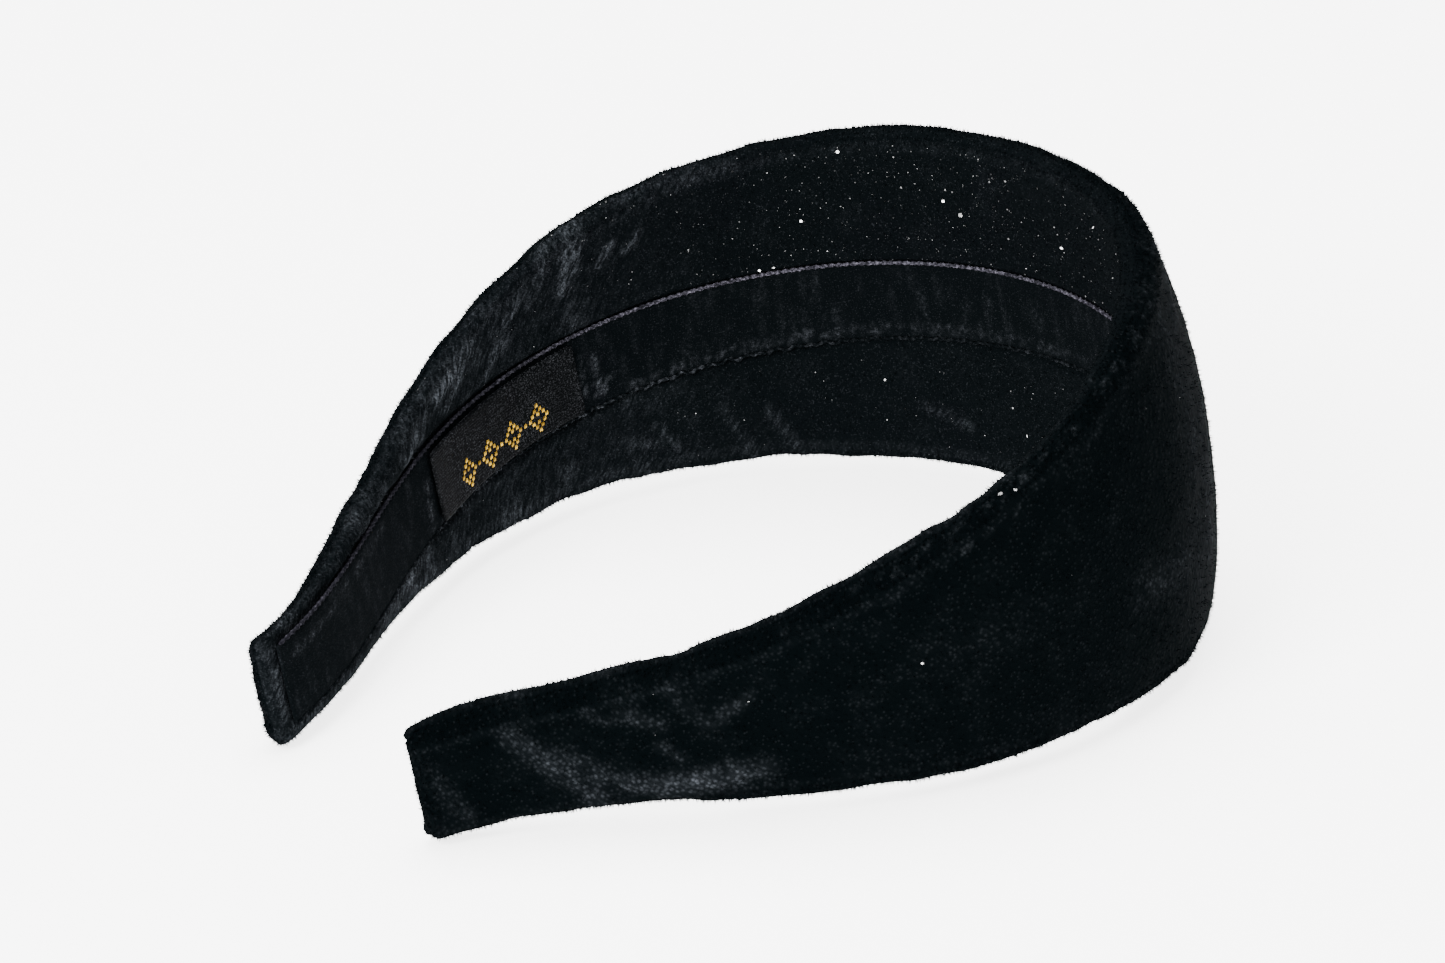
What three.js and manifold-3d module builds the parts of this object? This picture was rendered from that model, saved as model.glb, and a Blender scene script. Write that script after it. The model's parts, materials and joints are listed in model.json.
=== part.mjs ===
// Padded velvet headband, lying on the back edge of its crown and on the corners of its two tips.
//
// Every piece is laid out flat and then bent onto the head curve. A point of the flat band has a
// distance along it (s, from the crown centre, negative on the left arm), a distance across it
// (w, towards the front edge) and a height (n, outwards from the middle of the plastic core).
// The two arms spring open about the crown, so each layer is made as a left and a right half.
// Millimetres, +Z up, +Y towards the crown, -X is the left arm.
import * as THREE from 'three';
import { mergeVertices } from 'three/addons/utils/BufferGeometryUtils.js';
import Module from 'manifold-3d';

const wasm = await Module();
wasm.setup();

// ---- Driving dimensions ----
const CROWN_RADIUS = 60.3; // of the head curve, over the crown
const CROWN_ARC = 88; // from the crown centre to where the arm starts to ease off that radius
const ARM_LENGTH = 102; // from there to the tip
const TIP_SPACING = 40.4; // between the middles of the two tips
const FRONT_EDGE = { crown: 31.4, tip: 8.3, hold: 3.2, ease: 3.8 }; // half widths and their taper
const BACK_EDGE = { crown: 31.4, tip: 10.3, hold: 1.9, ease: 2.2 };
const CROSS_RADIUS = 220; // the slight curve across the band, which follows the head
const TIP_CORNER = 2; // radius of the tip's corners

const CORE_THICK = 1.2;
const PAD_CROWN = 2.4; // foam at the middle of the crown
const PAD_EDGE = 0.5; // foam along the edges and at the tips
const PAD_CROWNING = 2.5; // power of the foam's rise from the edges to the middle
const PAD_SETBACK = 0.5; // of the foam's edge from the core's
const COVER_THICK = 0.8;
const SEAM_GAP = 5; // between the turned-in edges of the cover, under the ribbon
const TIP_FOLD = 7; // length of the cover's fold over the inside of each tip
const RIBBON_WIDTH = 13.6;
const RIBBON_THICK = 0.7;
const RIBBON_SETBACK = 2.5; // from the tip to the ribbon's end
const LABEL_LENGTH = 38;
const LABEL_MARGIN = 0.8; // of ribbon that shows along each side of the label
const LABEL_THICK = 0.5;
const LABEL_FROM_TIP = 58.3; // from the left tip to the label's nearer end
const CLEARANCE = 0.3; // between pieces that touch, and between the two halves at the crown

// ---- Facets ----
const ACROSS = 7; // odd, so that the middle of the crown has a flat facet
const NOSE_STEPS = 4;
const STATIONS = 24;
const CORNER_STATIONS = 3;
const LABEL_STATIONS = 6;
const CURVE_STEP = 0.25; // of the head curve's integration

// ---- Levels through the thickness, from the middle of the core ----
const HALF_LENGTH = CROWN_ARC + ARM_LENGTH;
const CORE_FACE = CORE_THICK / 2;
const LINING_FACE = -(CORE_FACE + CLEARANCE); // cover's turned-in edges lie against the core
const INNER_FACE = LINING_FACE - COVER_THICK;
const RIBBON_BACK = INNER_FACE - CLEARANCE;
const RIBBON_FACE = RIBBON_BACK - RIBBON_THICK;
const LABEL_BACK = RIBBON_FACE - CLEARANCE;
const LABEL_FACE = LABEL_BACK - LABEL_THICK;

// ---- Head curve ----
// Heading of the curve: constant curvature over the crown, then the curvature falls away with the
// square of the distance and turns the other way at the tip, by flare times the crown's.
function heading(s, flare) {
  const onCrown = Math.min(Math.abs(s), CROWN_ARC);
  const onArm = Math.max(Math.abs(s) - CROWN_ARC, 0) / ARM_LENGTH;
  const turn = onCrown + ARM_LENGTH * (onArm - (flare * onArm ** 3) / 3);
  return (Math.sign(s) * turn) / CROWN_RADIUS;
}

// Points of the curve at equal steps from the crown centre to just past the tip.
function traceCurve(flare) {
  const points = [new THREE.Vector2(0, 0)];
  for (let s = CURVE_STEP; s <= HALF_LENGTH + CURVE_STEP; s += CURVE_STEP) {
    const middle = heading(s - CURVE_STEP / 2, flare);
    const last = points[points.length - 1];
    const step = new THREE.Vector2(Math.cos(middle), -Math.sin(middle));
    points.push(last.clone().addScaledVector(step, CURVE_STEP));
  }
  return points;
}

function pointOnTrace(points, s) {
  const at = Math.min(Math.abs(s) / CURVE_STEP, points.length - 1.001);
  const low = Math.floor(at);
  const point = points[low].clone().lerp(points[low + 1], at - low);
  point.x *= Math.sign(s) || 1;
  return point;
}

// The flare that leaves the wanted space between the tips: more flare ends them further apart.
function solveFlare() {
  let low = 0;
  let high = 8;
  for (let round = 0; round < 30; round += 1) {
    const flare = (low + high) / 2;
    const tip = pointOnTrace(traceCurve(flare), HALF_LENGTH);
    if (2 * tip.x < TIP_SPACING) low = flare;
    else high = flare;
  }
  return (low + high) / 2;
}

const FLARE = solveFlare();
const CURVE = traceCurve(FLARE);

// Carries a point of the flat band onto the head curve.
function bend(s, w, n) {
  const turn = heading(s, FLARE);
  const height = n - (w * w) / (2 * CROSS_RADIUS);
  const centre = pointOnTrace(CURVE, s);
  const x = centre.x + Math.sin(turn) * height;
  const y = centre.y + Math.cos(turn) * height;
  return new THREE.Vector3(x, y, w);
}

// ---- Outline and padding ----
function cornerInset(s) {
  const left = HALF_LENGTH - Math.abs(s);
  if (left >= TIP_CORNER) return 0;
  const across = TIP_CORNER - Math.max(left, 0);
  return TIP_CORNER - Math.sqrt(TIP_CORNER ** 2 - across ** 2);
}

function halfWidth(edge, s) {
  const along = Math.min(Math.abs(s) / HALF_LENGTH, 1);
  const fullness = (1 - along ** edge.hold) ** edge.ease;
  return edge.tip + (edge.crown - edge.tip) * fullness - cornerInset(s);
}

function edgeAt(w) {
  return w > 0 ? FRONT_EDGE : BACK_EDGE;
}

// Foam thickness: highest in the middle of the crown, and down to its edge value at the tips.
function padThickness(s, w) {
  const edge = edgeAt(w);
  const fullness = (halfWidth(edge, s) - edge.tip) / (edge.crown - edge.tip);
  const across = Math.min(Math.abs(w) / halfWidth(edge, s), 1);
  const rise = (PAD_CROWN - PAD_EDGE) * Math.max(fullness, 0) * (1 - across ** PAD_CROWNING);
  return PAD_EDGE + rise;
}

const padFace = (s, w) => CORE_FACE + CLEARANCE + padThickness(s, w);
const coverLining = (s, w) => padFace(s, w) + CLEARANCE;
const coverFace = (s, w) => coverLining(s, w) + COVER_THICK;

// ---- Flat sections and stations ----
// A piece's unit section has a level, 0 on its inner face and 1 on its outer face, and an across,
// from -1 to 1 over the flat part, with a rounded nose that adds 1 more at each edge.
// It is drawn more bowed than any piece will be, so that the triangles of its end faces stay
// inside it once it follows the head's cross curve.
const BOW = 4;
const drawn = (level, across) => new THREE.Vector2(level - BOW * across ** 2, across);
const levelOf = (x, across) => x + BOW * across ** 2;

function unitSection(noseSteps, acrossSteps) {
  const outline = [];
  for (const side of [1, -1]) {
    for (let k = 0; k < acrossSteps; k += 1) {
      outline.push(drawn((1 + side) / 2, side * ((2 * k) / acrossSteps - 1)));
    }
    for (let k = 0; k < noseSteps; k += 1) {
      const angle = (Math.PI * k) / noseSteps;
      outline.push(drawn((1 + side * Math.cos(angle)) / 2, side * (1 + Math.sin(angle))));
    }
  }
  return new THREE.Shape(outline);
}

// Distances along the band where its facets meet, from the crown centre to the tip.
function bandStations() {
  const stations = [];
  const straight = HALF_LENGTH - TIP_CORNER;
  for (let k = 0; k <= STATIONS; k += 1) stations.push((straight * k) / STATIONS);
  for (let k = 1; k <= CORNER_STATIONS; k += 1) {
    stations.push(straight + TIP_CORNER * Math.sin((Math.PI / 2) * (k / CORNER_STATIONS)));
  }
  return stations;
}

const BAND_STATIONS = bandStations();
const MIN_FACET = 0.15;

function stationsBetween(from, to) {
  const inside = BAND_STATIONS.filter((s) => s > from + MIN_FACET && s < to - MIN_FACET);
  return [from, ...inside, to];
}

// Extrudes the unit section along the stations, then gives it its size and bends it.
// side is 1 for the right arm and -1 for the left; reach is the distance to the piece's edge.
function bentPiece({ side, stations, reach, nose, noseSteps, acrossSteps, inner, outer }) {
  const along = side > 0 ? stations : stations.map((s) => -s).reverse();
  const geometry = new THREE.ExtrudeGeometry(unitSection(noseSteps, acrossSteps), {
    depth: along.length - 1,
    steps: along.length - 1,
    bevelEnabled: false,
  });
  const position = geometry.attributes.position;
  for (let i = 0; i < position.count; i += 1) {
    const across = position.getY(i);
    const height = levelOf(position.getX(i), across);
    const s = along[Math.round(position.getZ(i))];
    const flat = reach(Math.sign(across), s) - nose;
    const size = Math.min(Math.abs(across), 1) * flat + Math.max(Math.abs(across) - 1, 0) * nose;
    const w = Math.sign(across) * size;
    const n = inner(s, w) + height * (outer(s, w) - inner(s, w));
    const point = bend(s, w, n);
    position.setXYZ(i, point.x, point.y, point.z);
  }
  geometry.deleteAttribute('normal');
  geometry.deleteAttribute('uv');
  return mergeVertices(geometry, 1e-4);
}

const insetEdge = (inset) => (sign, s) => halfWidth(edgeAt(sign), s) - inset;
const level = (value) => () => value;

// ---- Booleans ----
function toSolid(geometry) {
  const vertProperties = new Float32Array(geometry.attributes.position.array);
  const triVerts = new Uint32Array(geometry.index.array);
  return new wasm.Manifold(new wasm.Mesh({ numProp: 3, vertProperties, triVerts }));
}

function toGeometry(solid) {
  const mesh = solid.getMesh();
  const geometry = new THREE.BufferGeometry();
  geometry.setAttribute('position', new THREE.BufferAttribute(mesh.vertProperties, 3));
  geometry.setIndex(new THREE.BufferAttribute(mesh.triVerts, 1));
  return geometry;
}

// ---- Pieces ----
const CUT = CLEARANCE / 2; // from the crown centre to each half
const PAST_CUT = -3; // cutting shapes start here, beyond the crown centre

// Springy plastic band that gives the headband its shape and grip.
function coreHalf(side) {
  const inset = COVER_THICK + CLEARANCE;
  return bentPiece({
    side,
    stations: stationsBetween(CUT, HALF_LENGTH - inset),
    reach: insetEdge(inset),
    nose: CORE_THICK / 2,
    noseSteps: 2,
    acrossSteps: ACROSS,
    inner: level(-CORE_FACE),
    outer: level(CORE_FACE),
  });
}

// Foam on the outer face of the core, crowned across the band.
function padHalf(side) {
  const inset = COVER_THICK + CLEARANCE + PAD_SETBACK;
  return bentPiece({
    side,
    stations: stationsBetween(CUT, HALF_LENGTH - inset),
    reach: insetEdge(inset),
    nose: PAD_EDGE,
    noseSteps: 2,
    acrossSteps: ACROSS,
    inner: level(CORE_FACE + CLEARANCE),
    outer: padFace,
  });
}

// Velvet wrapped round the padded core and over its tip, and turned in on the inner face.
function coverHalf(side) {
  const skin = bentPiece({
    side,
    stations: stationsBetween(CUT, HALF_LENGTH),
    reach: insetEdge(0),
    nose: COVER_THICK + CORE_THICK,
    noseSteps: NOSE_STEPS,
    acrossSteps: ACROSS,
    inner: level(INNER_FACE),
    outer: coverFace,
  });
  const hollow = bentPiece({
    side,
    stations: stationsBetween(PAST_CUT, HALF_LENGTH - COVER_THICK),
    reach: insetEdge(COVER_THICK),
    nose: CORE_THICK / 2,
    noseSteps: NOSE_STEPS,
    acrossSteps: ACROSS,
    inner: level(LINING_FACE),
    outer: coverLining,
  });
  const seam = bentPiece({
    side,
    stations: stationsBetween(PAST_CUT, HALF_LENGTH - TIP_FOLD),
    reach: level(SEAM_GAP / 2),
    nose: 0,
    noseSteps: 1,
    acrossSteps: 1,
    inner: level(INNER_FACE - COVER_THICK),
    outer: level(0),
  });
  return toGeometry(toSolid(skin).subtract(toSolid(hollow)).subtract(toSolid(seam)));
}

// Ribbon that covers the turned-in edges, down the middle of the inner face.
function ribbonHalf(side) {
  return bentPiece({
    side,
    stations: stationsBetween(CUT, HALF_LENGTH - RIBBON_SETBACK),
    reach: level(RIBBON_WIDTH / 2),
    nose: RIBBON_THICK / 2,
    noseSteps: 2,
    acrossSteps: 3,
    inner: level(RIBBON_FACE),
    outer: level(RIBBON_BACK),
  });
}

// Woven label on the ribbon of the left arm.
function wovenLabel() {
  const end = HALF_LENGTH - LABEL_FROM_TIP;
  const pitch = LABEL_LENGTH / LABEL_STATIONS;
  const stations = Array.from({ length: LABEL_STATIONS + 1 }, (_, k) => end - LABEL_LENGTH + k * pitch);
  return bentPiece({
    side: -1,
    stations,
    reach: level(RIBBON_WIDTH / 2 - LABEL_MARGIN),
    nose: LABEL_THICK / 2,
    noseSteps: 2,
    acrossSteps: 3,
    inner: level(LABEL_FACE),
    outer: level(LABEL_BACK),
  });
}

// ---- Materials ----
function finish(color, roughness) {
  return new THREE.MeshStandardMaterial({ color, roughness, metalness: 0 });
}

const blackVelvet = finish(0x0d1114, 0.95);
const blackRibbon = finish(0x14151a, 0.85);
const blackSatin = finish(0x17181c, 0.45);
const blackPlastic = finish(0x1a1a1c, 0.4);
const greyFoam = finish(0x5b5d61, 0.95);

// ---- Assembly ----
function piece(name, geometry, material) {
  const mesh = new THREE.Mesh(geometry, material);
  mesh.name = name;
  return mesh;
}

// The tilt that sets the back edge of the crown and both tips on one level.
function restingTilt() {
  const tip = bend(HALF_LENGTH, -halfWidth(BACK_EDGE, HALF_LENGTH), 0);
  const crown = BAND_STATIONS.filter((s) => s < CROWN_ARC);
  const slopes = crown.map((s) => {
    const edge = bend(s, -halfWidth(BACK_EDGE, s), 0);
    return (tip.z - edge.z) / (edge.y - tip.y);
  });
  return Math.atan(Math.max(...slopes));
}

const band = new THREE.Group();
for (const [hand, side] of [['left', -1], ['right', 1]]) {
  band.add(piece(`core_${hand}`, coreHalf(side), blackPlastic));
  band.add(piece(`pad_${hand}`, padHalf(side), greyFoam));
  band.add(piece(`cover_${hand}`, coverHalf(side), blackVelvet));
  band.add(piece(`ribbon_${hand}`, ribbonHalf(side), blackRibbon));
}
band.add(piece('label', wovenLabel(), blackSatin));
band.rotation.x = restingTilt();

const headband = new THREE.Group();
headband.add(band);
headband.updateMatrixWorld(true);
const extent = new THREE.Box3().setFromObject(band, true);
const middle = extent.getCenter(new THREE.Vector3());
band.position.set(-middle.x, -middle.y, -extent.min.z);

export default headband;
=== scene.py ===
"""Padded velvet headband: every layer's looks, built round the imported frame.

The headband lies on the back edge of its crown and on the corners of its tips. Each layer is
laid out flat first. A place on the flat band has a distance along it (s, from the crown centre,
negative on the left arm), a distance across it (w, towards the front edge) and a level through
it (n, outwards from the middle of the plastic core). The head curve then carries it into place.
Metres, +Z up, +Y towards the crown, -X is the left arm.
"""

import json
import logging
import math
from dataclasses import dataclass, field
from enum import Enum
from typing import Callable, Sequence

import bmesh
import bpy
import numpy as np
from mathutils import Matrix, Vector, noise


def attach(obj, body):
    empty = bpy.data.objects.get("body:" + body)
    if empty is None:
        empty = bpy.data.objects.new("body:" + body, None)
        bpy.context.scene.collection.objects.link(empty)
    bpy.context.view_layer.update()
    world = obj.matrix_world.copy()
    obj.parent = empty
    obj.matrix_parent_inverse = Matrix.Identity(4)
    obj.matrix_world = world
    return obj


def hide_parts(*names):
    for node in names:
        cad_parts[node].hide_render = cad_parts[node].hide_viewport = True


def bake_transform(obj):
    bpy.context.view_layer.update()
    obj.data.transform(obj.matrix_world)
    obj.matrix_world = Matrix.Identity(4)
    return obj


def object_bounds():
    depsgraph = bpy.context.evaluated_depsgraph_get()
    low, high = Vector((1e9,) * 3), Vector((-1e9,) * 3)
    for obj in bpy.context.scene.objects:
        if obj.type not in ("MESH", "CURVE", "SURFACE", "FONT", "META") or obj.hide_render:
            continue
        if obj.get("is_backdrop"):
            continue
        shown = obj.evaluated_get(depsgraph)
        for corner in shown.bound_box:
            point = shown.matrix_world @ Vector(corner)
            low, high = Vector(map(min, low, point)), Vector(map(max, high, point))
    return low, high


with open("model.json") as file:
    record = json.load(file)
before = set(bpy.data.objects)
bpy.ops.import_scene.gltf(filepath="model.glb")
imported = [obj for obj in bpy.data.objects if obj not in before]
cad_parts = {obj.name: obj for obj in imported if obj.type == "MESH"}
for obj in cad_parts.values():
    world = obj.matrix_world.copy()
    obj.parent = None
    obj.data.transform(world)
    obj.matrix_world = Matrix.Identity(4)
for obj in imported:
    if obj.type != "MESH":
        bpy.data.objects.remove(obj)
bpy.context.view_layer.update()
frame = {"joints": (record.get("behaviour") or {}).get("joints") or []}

log = logging.getLogger("headband")
Array = np.ndarray
Piece = bpy.types.Object
Socket = bpy.types.NodeSocket
Triple = tuple[float, float, float]
Rule = Callable[[Array, Array], Array]

MM = 0.001
FLAT = "flat"  # attribute: a point's place on the flat band
CRUSH_SHEEN = "crush_sheen"  # attribute: how far the pile is laid down, 0 to 1; it sets the painted sheen of laid pile and the painted glints of the glitter
WELD = 0.01 * MM
HELD = 7.5 * MM  # half width of the strip of cover that the ribbon holds flat


class Face(Enum):
    """Side of the band that a mark lies on."""

    INNER = -1
    OUTER = 1


# ---- The band: its curve, its outline and its levels ----


@dataclass(frozen=True)
class HeadCurve:
    """Plan curve of the band over the head."""

    crown_radius: float = 60.3 * MM
    crown_arc: float = 88 * MM
    arm_length: float = 102 * MM
    tip_spacing: float = 40.4 * MM
    step: float = 0.25 * MM

    @property
    def half_length(self) -> float:
        """Distance along the band from the crown centre to a tip."""
        return self.crown_arc + self.arm_length

    def heading(self, s: Array, flare: float) -> Array:
        """Direction of the curve at each distance along it.

        Args:
            s: distances from the crown centre.
            flare: how strongly the arms turn back outwards at their tips.

        Returns:
            The turn from the crown's direction, in radians.
        """
        on_crown = np.minimum(np.abs(s), self.crown_arc)
        on_arm = np.maximum(np.abs(s) - self.crown_arc, 0) / self.arm_length
        turn = on_crown + self.arm_length * (on_arm - flare * on_arm**3 / 3)
        return np.sign(s) * turn / self.crown_radius

    def trace(self, flare: float) -> Array:
        """Points of the right half of the curve, a step apart, as rows of sideways and outwards."""
        middles = np.arange(self.step / 2, self.half_length + self.step, self.step)
        turn = self.heading(middles, flare)
        steps = np.stack([np.cos(turn), -np.sin(turn)], 1) * self.step
        return np.concatenate([np.zeros((1, 2)), np.cumsum(steps, 0)])

    def solve_flare(self) -> float:
        """The flare that leaves the wanted space between the two tips."""
        low, high = 0.0, 8.0
        for _ in range(30):
            flare = (low + high) / 2
            if 2 * self.trace(flare)[-2, 0] < self.tip_spacing:
                low = flare
            else:
                high = flare
        return (low + high) / 2


@dataclass(frozen=True)
class EdgeTaper:
    """How the band's half width falls from the crown to a tip."""

    crown: float
    tip: float
    hold: float
    ease: float

    def fullness(self, along: Array) -> Array:
        """Share of the crown's extra width at each share of the arm's length."""
        return (1 - np.clip(along, 0, 1) ** self.hold) ** self.ease

    def half_width(self, along: Array) -> Array:
        """Half width at each share of the arm's length."""
        return self.tip + (self.crown - self.tip) * self.fullness(along)


@dataclass(frozen=True)
class Band:
    """Outline and levels of the flat band, and its bending onto the head curve."""

    curve: HeadCurve = field(default_factory=HeadCurve)
    front: EdgeTaper = EdgeTaper(31.4 * MM, 8.3 * MM, 3.2, 3.8)
    back: EdgeTaper = EdgeTaper(31.4 * MM, 10.3 * MM, 1.9, 2.2)
    cross_radius: float = 220 * MM
    tip_corner: float = 2 * MM
    core_thick: float = 1.2 * MM
    pad_crown: float = 2.4 * MM
    pad_edge: float = 0.5 * MM
    pad_crowning: float = 2.5
    pad_setback: float = 0.5 * MM
    cover_thick: float = 0.8 * MM
    ribbon_thick: float = 0.7 * MM
    label_thick: float = 0.5 * MM
    clearance: float = 0.3 * MM

    def __post_init__(self) -> None:
        """Works out the curve's points and where the frame's hinge puts the band."""
        hinge = frame["joints"][0]
        up = -Vector(hinge["axis"]).normalized()
        side = Vector((1, 0, 0))
        out = up.cross(side)
        crown_face = self.cover_face(np.zeros(1), np.zeros(1))[0]
        origin = Vector(hinge["pos_m"]) - out * crown_face
        flare = self.curve.solve_flare()
        object.__setattr__(self, "flare", flare)
        object.__setattr__(self, "points", self.curve.trace(flare))
        object.__setattr__(self, "origin", np.array(origin))
        object.__setattr__(self, "axes", np.array([side, out, up]))

    @property
    def core_face(self) -> float:
        """Level of the core's outer face."""
        return self.core_thick / 2

    @property
    def inner_face(self) -> float:
        """Level of the cover's inner face."""
        return -(self.core_face + self.clearance + self.cover_thick)

    @property
    def ribbon_back(self) -> float:
        """Level of the ribbon's glued side."""
        return self.inner_face - self.clearance

    @property
    def ribbon_face(self) -> float:
        """Level of the ribbon's shown side."""
        return self.ribbon_back - self.ribbon_thick

    @property
    def label_back(self) -> float:
        """Level of the label's glued side."""
        return self.ribbon_face - self.clearance

    @property
    def label_face(self) -> float:
        """Level of the label's shown side."""
        return self.label_back - self.label_thick

    def reach(self, side: Array, s: Array) -> Array:
        """Distance from the middle line to the edge, for a side of 1 (front) or -1 (back)."""
        along = np.abs(s) / self.curve.half_length
        return np.where(side > 0, self.front.half_width(along), self.back.half_width(along))

    def pad_face(self, s: Array, w: Array) -> Array:
        """Level of the foam's outer face: highest along the middle of the crown."""
        along = np.abs(s) / self.curve.half_length
        full = np.where(w > 0, self.front.fullness(along), self.back.fullness(along))
        across = np.minimum(np.abs(w) / self.reach(np.sign(w), s), 1)
        rise = (self.pad_crown - self.pad_edge) * full * (1 - across**self.pad_crowning)
        return self.core_face + self.clearance + self.pad_edge + rise

    def cover_face(self, s: Array, w: Array) -> Array:
        """Level of the cover's outer face."""
        return self.pad_face(s, w) + self.clearance + self.cover_thick

    def place(self, flat: Array) -> Array:
        """Carries places on the flat band into the row frame.

        Args:
            flat: rows of s, w and n.

        Returns:
            Rows of x, y and z.
        """
        s, w, n = flat[:, 0], flat[:, 1], flat[:, 2]
        turn = self.curve.heading(s, self.flare)
        at = np.abs(s) / self.curve.step
        steps = np.arange(len(self.points))
        along = np.interp(at, steps, self.points[:, 0]) * np.sign(s)
        depth = np.interp(at, steps, self.points[:, 1])
        height = n - w**2 / (2 * self.cross_radius)
        sideways = along + np.sin(turn) * height
        outwards = depth + np.cos(turn) * height
        return self.origin + np.stack([sideways, outwards, w], 1) @ self.axes


# ---- Mesh building ----


@dataclass(frozen=True)
class Strip:
    """Closed skin of one layer: two faces joined by rounded noses and rounded ends."""

    start: float
    finish: float
    reach: Rule
    nose: float
    inner: Rule
    outer: Rule
    columns: int
    face_rows: int
    nose_rows: int = 3
    end_round: float = 0.5 * MM
    end_columns: int = 4
    corner: float = 0.0
    gap: float = 0.0
    gap_end: float = 5 * MM

    def stations(self) -> Array:
        """Distances along the band where the strip has a section."""
        ends = max(self.corner, self.end_round)
        turn = np.linspace(0, math.pi / 2, self.end_columns + 1)[1:]
        middle = np.linspace(self.start + ends, self.finish - ends, self.columns + 1)
        tail = self.finish - ends + ends * np.sin(turn)
        head = self.start + ends - ends * np.sin(turn[::-1])
        return np.concatenate([head, middle, tail])

    def section(self) -> Array:
        """Rows round the section, each a side, a share of the face and an angle on the nose."""
        share = np.arange(self.face_rows + 1) / self.face_rows
        nose = np.pi * np.arange(1, self.nose_rows) / self.nose_rows
        rows = [(1, k, 0) for k in share]
        rows += [(1, 1, angle) for angle in nose]
        rows += [(1, k, math.pi) for k in share[::-1]]
        rows += [(-1, k, math.pi) for k in share[1:]]
        rows += [(-1, 1, angle) for angle in nose[::-1]]
        rows += [(-1, k, 0) for k in share[::-1]]
        return np.array(rows, float)

    def flat_points(self, column: Array, row: Array) -> Array:
        """Place on the flat band of each vertex of the grid.

        Args:
            column: each vertex's station.
            row: each vertex's row round the section.

        Returns:
            Rows of s, w and n.
        """
        s = self.stations()[column]
        side, share, angle = self.section()[row].T
        left = np.minimum(s - self.start, self.finish - s)
        cut = self.corner - np.clip(left, 0, self.corner)
        width = self.reach(side, s) - self.corner + np.sqrt(self.corner**2 - cut**2)
        flat = np.maximum(width - self.nose, 0)
        opening = np.clip((left - self.gap_end) / self.gap_end, 0, 1) * self.gap / 2
        opening = np.where(angle == 0, opening, 0)
        w = side * (opening + share * (flat - opening) + self.nose * np.sin(angle))
        w_face = side * np.minimum(np.abs(w), flat)
        low, high = self.inner(s, w_face), self.outer(s, w_face)
        bend = 1 - np.clip(left / self.end_round, 0, 1)
        thin = np.sqrt(np.maximum(1 - bend**2, 0))
        n = (low + high) / 2 - (high - low) / 2 * np.cos(angle) * thin
        return np.stack([s, w, n], 1)

    def build(self, name: str, band: Band) -> Piece:
        """Makes the strip's mesh, bent onto the band."""
        columns = len(self.stations()) - 1
        rows = len(self.section()) - 1

        def flat_at(share: Array) -> Array:
            """Finds each vertex's station and row, and from them its flat place."""
            column = np.rint(share[:, 0] * columns).astype(int)
            row = np.rint(share[:, 1] * rows).astype(int)
            return self.flat_points(column, row)

        return wrapped_grid(name, band, columns, rows, flat_at)


def outline_strip(band: Band, inset: float, **shape) -> Strip:
    """Strip that follows the band's outline, set in from it all round.

    Args:
        band: the band.
        inset: how far it stays inside the outline.
        shape: the strip's other values.

    Returns:
        The strip.
    """
    end = band.curve.half_length - inset
    return Strip(start=-end, finish=end,
                 reach=lambda side, s: band.reach(side, s) - inset, **shape)


def wrapped_grid(name: str, band: Band, columns: int, rows: int,
                 flat_at: Callable[[Array], Array]) -> Piece:
    """Makes a closed piece from a grid that is wrapped round its section.

    Args:
        name: name of the piece.
        band: the band that it is bent onto.
        columns: faces along the band.
        rows: faces round the section.
        flat_at: gives flat places from each vertex's share of the columns and the rows.

    Returns:
        The piece, with its flat places in an attribute.
    """
    bm = bmesh.new()
    bmesh.ops.create_grid(bm, x_segments=columns, y_segments=rows, size=0.5)
    flat = flat_at(np.array([vert.co for vert in bm.verts]) + 0.5)
    layer = bm.verts.layers.float_vector.new(FLAT)
    for vert, point, place in zip(bm.verts, band.place(flat), flat):
        vert.co = point
        vert[layer] = place
    bmesh.ops.remove_doubles(bm, verts=bm.verts, dist=WELD)
    bmesh.ops.recalc_face_normals(bm, faces=bm.faces)
    return object_of(name, bm)


def add_object(name: str, data: bpy.types.ID) -> Piece:
    """Adds an object with this data to the scene."""
    thing = bpy.data.objects.new(name, data)
    bpy.context.scene.collection.objects.link(thing)
    return thing


def object_of(name: str, bm: bmesh.types.BMesh) -> Piece:
    """Turns a finished bmesh into a smooth-shaded object of the scene."""
    mesh = bpy.data.meshes.new(name)
    bm.to_mesh(mesh)
    bm.free()
    mesh.shade_smooth()
    return add_object(name, mesh)


def rows_of(items: bpy.types.bpy_prop_collection, name: str) -> Array:
    """Reads a vector of each vertex of a mesh as rows of three."""
    values = np.zeros(len(items) * 3, np.float32)
    items.foreach_get(name, values)
    return values.reshape(-1, 3).astype(float)


def points_of(piece: Piece) -> Array:
    """The vertices of a piece's mesh as rows of x, y and z."""
    return rows_of(piece.data.vertices, "co")


def normals_of(piece: Piece) -> Array:
    """The vertex normals of a piece's mesh."""
    return rows_of(piece.data.vertex_normals, "vector")


def flat_of(piece: Piece) -> Array:
    """The places on the flat band of a piece's vertices."""
    return rows_of(piece.data.attributes[FLAT].data, "vector")


def push_out(piece: Piece, height: Array) -> None:
    """Moves a piece's vertices along their normals."""
    points = points_of(piece) + normals_of(piece) * height[:, None]
    piece.data.vertices.foreach_set("co", points.astype(np.float32).ravel())
    piece.data.update()


def lay_pile(piece: Piece, crush_sheen: Array) -> None:
    """Writes how far the pile is laid down, at each vertex or on each scattered copy; this sets the
    painted sheen (painted glints on glitter).
    """
    attribute = piece.data.attributes.new(CRUSH_SHEEN, "FLOAT", "POINT")
    spread = np.repeat(np.clip(crush_sheen, 0, 1), len(attribute.data) // len(crush_sheen))
    attribute.data.foreach_set("value", spread.astype(np.float32))


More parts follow.
